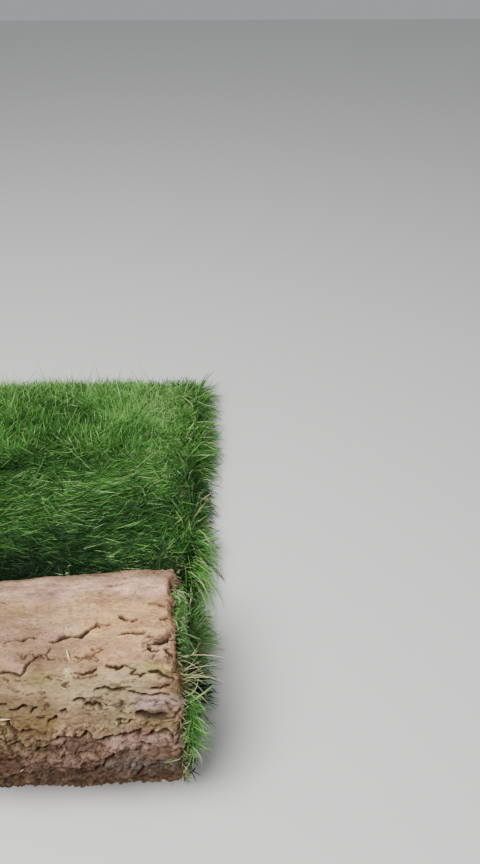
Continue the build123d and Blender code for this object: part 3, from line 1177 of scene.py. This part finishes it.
# %% [markdown]
# Along its edges the grass leans out over the cut, hangs down and hides most of the soil. It does so in
# tufts of its own, some green and some dry, and a few bare places show the cut. At the ends of the roll
# the blades come out of the gap between two turns of soil, shorter towards the middle, and darker there as
# painted shade inside the roll. The photograph shows the right edge well, so three lists say how bare its
# grass is, how much lighter or darker, and how long, each at some places up the strip from where it leaves
# the floor, which are negative on the flap. The darker places are painted shade, in the hole behind the
# roll and low along the roll's right end.

# %% Grow the fringes
right_bare = (
    [-0.3, -0.27, -0.18, -0.16, -0.08, -0.06, 0.14, 0.16, 0.3, 0.31, 0.41, 0.43, 0.56, 0.6],
    [0.0, 0.85, 0.85, 0.1, 0.1, 0.1, 0.2, 0.95, 0.95, 0.7, 0.7, 0.9, 0.9, 0.4],
)
right_shade = (
    [-0.6, -0.5, -0.31, -0.27, -0.18, -0.16, -0.1, -0.08, -0.06, 0.15, 0.3, 0.32, 0.4, 0.45],
    [0.0, -0.1, -0.1, -0.4, -0.4, 0.24, 0.24, 0.1, -0.33, -0.36, -0.36, -0.04, 0.06, 0.0],
)
right_reach = ([-0.26, -0.25, 0.0, 0.03, 0.1, 0.12], [1.0, 0.85, 0.85, 0.65, 0.65, 1.0])
bare_inside = 0.6
fringe_depth = 0.034


def fringe(name, count, seed, low, high, reach, bend, thin):
    """Blades rooted close to both long edges, which lean out and hang down."""
    chance = np.random.default_rng(seed)
    along = chance.uniform(low, high, 3 * count)
    side = chance.choice([-1.0, 1.0], 3 * count)
    up = along - flap_length
    bare = thin * (0.4 + 0.9 * drift(side * 3, along, 0.03, seed + 1))
    bare = np.where(side > 0, np.interp(up, *right_bare, right=bare_inside), bare)
    grown = chance.random(3 * count) > bare
    along, side, up = along[grown][:count], side[grown][:count], up[grown][:count]
    count = len(along)
    from_edge = chance.exponential(0.009, count).clip(0, fringe_depth)
    x = side * (half_width - from_edge) + (side > 0) * right_end(up)
    place, inward = wind(along, np.full(count, soil_thickness - 0.001))
    tuft, _ = cells(x, along, 0.016, seed)
    inner = ease(0.3, 1.0, up)

    sweep = np.radians(90 * tuft[:, 1] + chance.normal(0, 30, count))
    ahead = np.column_stack([inward[:, 1], -inward[:, 0]]) * np.sin(sweep)[:, None]
    lean = (0.8 + 0.4 * tuft[:, 0]) * (1 - from_edge / 0.036)
    heading = np.column_stack([side * np.cos(sweep), ahead]) * lean[:, None]
    heading = heading + np.column_stack([np.zeros(count), inward]) * 0.8
    heading = heading + chance.normal(0, 0.3, (count, 3))
    length = chance.uniform(*reach, count) * (1 + 0.35 * tuft[:, 0]) * (1 - 0.5 * inner) * (1 - 9 * from_edge)
    length = np.where(side > 0, length * np.interp(up, *right_reach), length)
    width = chance.uniform(0.001, 0.0021, count)

    # Painted shade: darker in the hole behind the roll, low along its right end, and inside the roll.
    shaded = np.where(side > 0, np.interp(up, *right_shade), 0) + shade(x, place[:, 0]) * (up < 0)
    bright = 0.44 + 0.2 * tuft[:, 0] + 0.15 * drift(x, along, 0.06, seed + 2) - 0.2 * inner + shaded
    tone = np.clip(bright + chance.normal(0, 0.16, count), 0, 0.84)
    dry = (0.07 + 0.11 * (tuft[:, 1] > 0.6)) * (1 - from_edge / fringe_depth)
    tone = retone(chance, tone, chance.random(count) < dry, 0.84, 1.0)
    roots = np.column_stack([x, place])
    droop = chance.uniform(*bend, count)
    blades(name, roots, unit(heading), length, width, droop, tone, 4, along, curl=0.35, lowest=0.15)


fringe("flap_fringe", 13500, 103, 0.01, flap_length, (0.03, 0.072), (0.6, 2.6), 0.6)
fringe("roll_end_grass", 8000, 104, flap_length, strip_length, (0.014, 0.04), (1.4, 4.6), 0.9)

# %% [markdown]
# At the roll's right end the photograph shows single tufts: short curled ones close to the cut, then a
# dark hole with dry blades across it, a bright tuft below it, and roots. They are listed from the top
# down: how far up the strip they grow, the spread, the number of blades, their length, how they lean
# outwards, back and up, how much they bend, their tone, and the share that is dry. Evenly spread grass
# would fill the hole, so here a list is better than chance.

# %% Place the tufts of the right end
seen_tufts = [
    (400, 8, 70, 0.034, 0.9, 0.1, 0.5, 3.6, 0.79, 0.2),
    (380, 14, 360, 0.042, 1.0, 0.0, 0.3, 4.8, 0.86, 0.05),
    (345, 16, 380, 0.042, 1.0, 0.0, 0.2, 4.8, 0.85, 0.07),
    (360, 26, 380, 0.026, 0.9, 0.1, 0.3, 3.0, 0.5, 0.1),
    (318, 10, 260, 0.036, 0.9, 0.0, 0.1, 3.4, 0.38, 0.1),
    (303, 4, 12, 0.03, 0.5, -0.1, -0.5, 1.6, 0.3, 1.0),
    (286, 8, 13, 0.055, 1.0, -0.1, 0.75, 1.0, 0.3, 0.95),
    (268, 6, 8, 0.05, 1.0, -0.2, 0.1, 2.0, 0.3, 0.95),
    (248, 6, 90, 0.044, 0.7, -0.1, 0.0, 2.4, 0.5, 0.12),
    (232, 9, 300, 0.044, 0.9, -0.1, 0.0, 3.0, 0.66, 0.05),
    (212, 8, 260, 0.042, 0.9, -0.2, -0.2, 3.0, 0.56, 0.12),
    (222, 14, 200, 0.04, 0.9, -0.1, 0.1, 2.6, 0.3, 0.05),
    (190, 8, 120, 0.036, 1.0, -0.1, 0.1, 3.0, 0.8, 0.3),
    (162, 14, 80, 0.02, 0.9, -0.2, -0.2, 2.6, 0.3, 0.95),
]
greenest = 0.89


def end_tufts(name, seed):
    """The listed tufts, rooted between the outermost turn's soil and its grass."""
    chance = np.random.default_rng(seed)
    rows = []
    for up, spread, number, length, out, back, lift, droop, tone, dry in seen_tufts:
        along = flap_length + (up + chance.normal(0, spread, number)) / 1000
        x = half_width + right_end(up / 1000) - chance.exponential(0.0025, number).clip(0, 0.01)
        place, _ = wind(along, chance.uniform(soil_thickness - 0.004, soil_thickness + 0.008, number))
        heading = np.array([out, back, lift]) + chance.normal(0, 0.12 if dry > 0.9 else 0.3, (number, 3))
        heading[:, 0] = np.abs(heading[:, 0])
        tones = np.clip(tone + chance.normal(0, 0.14, number), 0, greenest)
        tones = retone(chance, tones, chance.random(number) < dry, 0.9, 1.0)
        reach = length * chance.uniform(0.55, 1.25, number)
        droops = droop * chance.uniform(0.5, 1.5, number)
        rows.append(np.column_stack([along, x, place, unit(heading), reach, droops, tones]))
    rows = np.concatenate(rows)
    along, roots, heading = rows[:, 0], rows[:, 1:4], rows[:, 4:7]
    reach, droop, tone = rows[:, 7:].T
    width = chance.uniform(0.0009, 0.0019, len(rows)) * np.where(tone > greenest, 0.55, 1)
    blades(name, roots, heading, reach, width, droop, tone, 5, along, curl=0.4, lowest=0.45, stray=0.5)


end_tufts("right_end_tufts", 106)

# %% [markdown]
# Beside the roll, long pale blades of the flap arch out over its right edge and fall forwards over the
# tufts. They are the same ribbons, but pulled to the front as well as down.


# %% Let long blades hang beside the roll
def hanging_blades(name, count, seed):
    """Long pale blades of the flap that arch out over its right edge and fall forwards beside the roll."""
    chance = np.random.default_rng(seed)
    x = half_width - chance.exponential(0.006, count).clip(0, 0.018)
    y = chance.uniform(0.2, 0.34, count)
    heading = unit(np.array([1.0, 0.0, 0.55]) + chance.normal(0, 0.35, (count, 3)))
    length = chance.uniform(0.06, 0.11, count)
    width = chance.uniform(0.0015, 0.0026, count)
    droop = chance.uniform(1.2, 2.2, count)
    tone = np.clip(0.76 + chance.normal(0, 0.1, count), 0, 0.9)
    shape = {"bands": 5, "curl": 0.22, "lowest": 0.2, "stray": 0.1, "pull": (0.1, -1.0, -0.35)}
    blades(name, on_soil(x, y), heading, length, width, droop, tone, **shape)


hanging_blades("hanging_blades", 170, 110)

# %% [markdown]
# Where the strip ends, the grass falls over the cut edge, and a few long blades that the mower missed
# stand above the rest. The fringe from above isn't used here, because it grows along the long edges only.


# %% Cover the open end
def open_end(name, count, seed):
    """Blades that fall over the flap's open end, and tall ones that stand near it."""
    chance = np.random.default_rng(seed)
    tall = chance.random(count) < 0.03
    x = chance.uniform(-half_width, half_width, count)
    inside = np.where(tall, chance.uniform(0, 0.1, count), chance.exponential(0.006, count).clip(0, 0.02))
    y = soil_high[1] - inside
    back = np.where(tall, chance.normal(0.1, 0.4, count), 0.8)
    heading = np.column_stack([chance.normal(0, 0.4, count), back, np.where(tall, 1.2, 0.6)])
    length = np.where(tall, chance.uniform(0.06, 0.09, count), chance.uniform(0.03, 0.055, count))
    tone = np.clip(0.55 + chance.normal(0, 0.14, count) + 0.15 * drift(x, y, 0.05, 9), 0, 0.84)
    tone = retone(chance, tone, tall | (chance.random(count) < 0.06), 0.7, 0.88)
    droop = np.where(tall, 0.4, chance.uniform(0.6, 2.0, count))
    width = chance.uniform(0.0008, 0.0017, count)
    blades(name, on_soil(x, y), unit(heading), length, width, droop, tone)


open_end("open_end_grass", 4000, 107)

# %% [markdown]
# Turf is held together by its roots, and the blade that cuts it leaves pale hairs of them sticking out of
# the soil's sides. Each is a blade again, but short, thin and of two bands.


# %% Add root hairs
def root_hairs(name, count, seed):
    """Roots that stick out of the two long cut sides of the soil, fewer where the tufts are."""
    chance = np.random.default_rng(seed)
    along = chance.uniform(0.005, strip_length, count)
    side = chance.choice([-1.0, 1.0], count)
    depth = chance.uniform(0.001, soil_thickness - 0.002, count)
    up = along - flap_length
    few = np.where(up < 0.31, 0.6, 0.1)
    kept = (side < 0) | (up < 0.15) | (up > 0.56) | (chance.random(count) < few)
    along, side, depth, up = along[kept], side[kept], depth[kept], up[kept]
    count = len(along)
    place, _ = wind(along, depth)
    roots = np.column_stack([side * (half_width - 0.003) + (side > 0) * right_end(up), place])
    heading = side[:, None] * (1, 0, 0) + chance.normal(0, 0.6, (count, 3))
    length = chance.uniform(0.005, 0.014, count)
    width = chance.uniform(0.0005, 0.001, count)
    pale = chance.random(count) < 0.75
    tone = np.where(pale, chance.uniform(0.92, 1.0, count), chance.uniform(0.3, 0.8, count))
    droop = chance.uniform(0.0, 2.0, count)
    blades(name, roots, unit(heading), length, width, droop, tone, bands=2, wound=along)


root_hairs("root_hairs", 9000, 108)

# %% [markdown]
# Last come bits of straw on the face of the roll. They are short dry blades that lie flat on the soil,
# which is why they start along the face and don't bend. Those that the photograph shows are put in place
# one by one, and the rest by chance.


# %% Scatter straw
def straws(name, count, seed):
    """Bits of straw on the face of the roll. The photograph shows the first two, and a star of six."""
    chance = np.random.default_rng(seed)
    x = chance.uniform(-0.23, 0.23, count)
    up = chance.uniform(0.06, 0.7, count)
    turn = chance.normal(0, 0.5, count)
    length = chance.uniform(0.004, 0.009, count)
    width = chance.uniform(0.0005, 0.001, count)
    x[:2], up[:2], turn[:2] = (0.128, 0.054), (0.309, 0.243), (-1.15, 0.0)
    length[:2], width[:2] = (0.014, 0.017), (0.0022, 0.002)
    x[2:8], up[2:8], turn[2:8], length[2:8] = 0.132, 0.287, np.arange(6) * 1.1, 0.007
    wound = flap_length + up
    place, inward = wind(wound, np.full(count, -0.0012))
    ahead = np.column_stack([inward[:, 1], -inward[:, 0]])
    ahead = ahead * np.where((ahead[:, 1] < 0) & (up < 0.35), -1, 1)[:, None]
    heading = unit(np.column_stack([np.cos(turn), ahead * np.sin(turn)[:, None]]))
    roots = np.column_stack([x, place])
    tone = chance.uniform(0.93, 1.0, count)
    blades(name, roots, heading, length, width, np.zeros(count), tone, 2, wound, curl=0.05, lowest=0.8)


straws("straws", 60, 109)
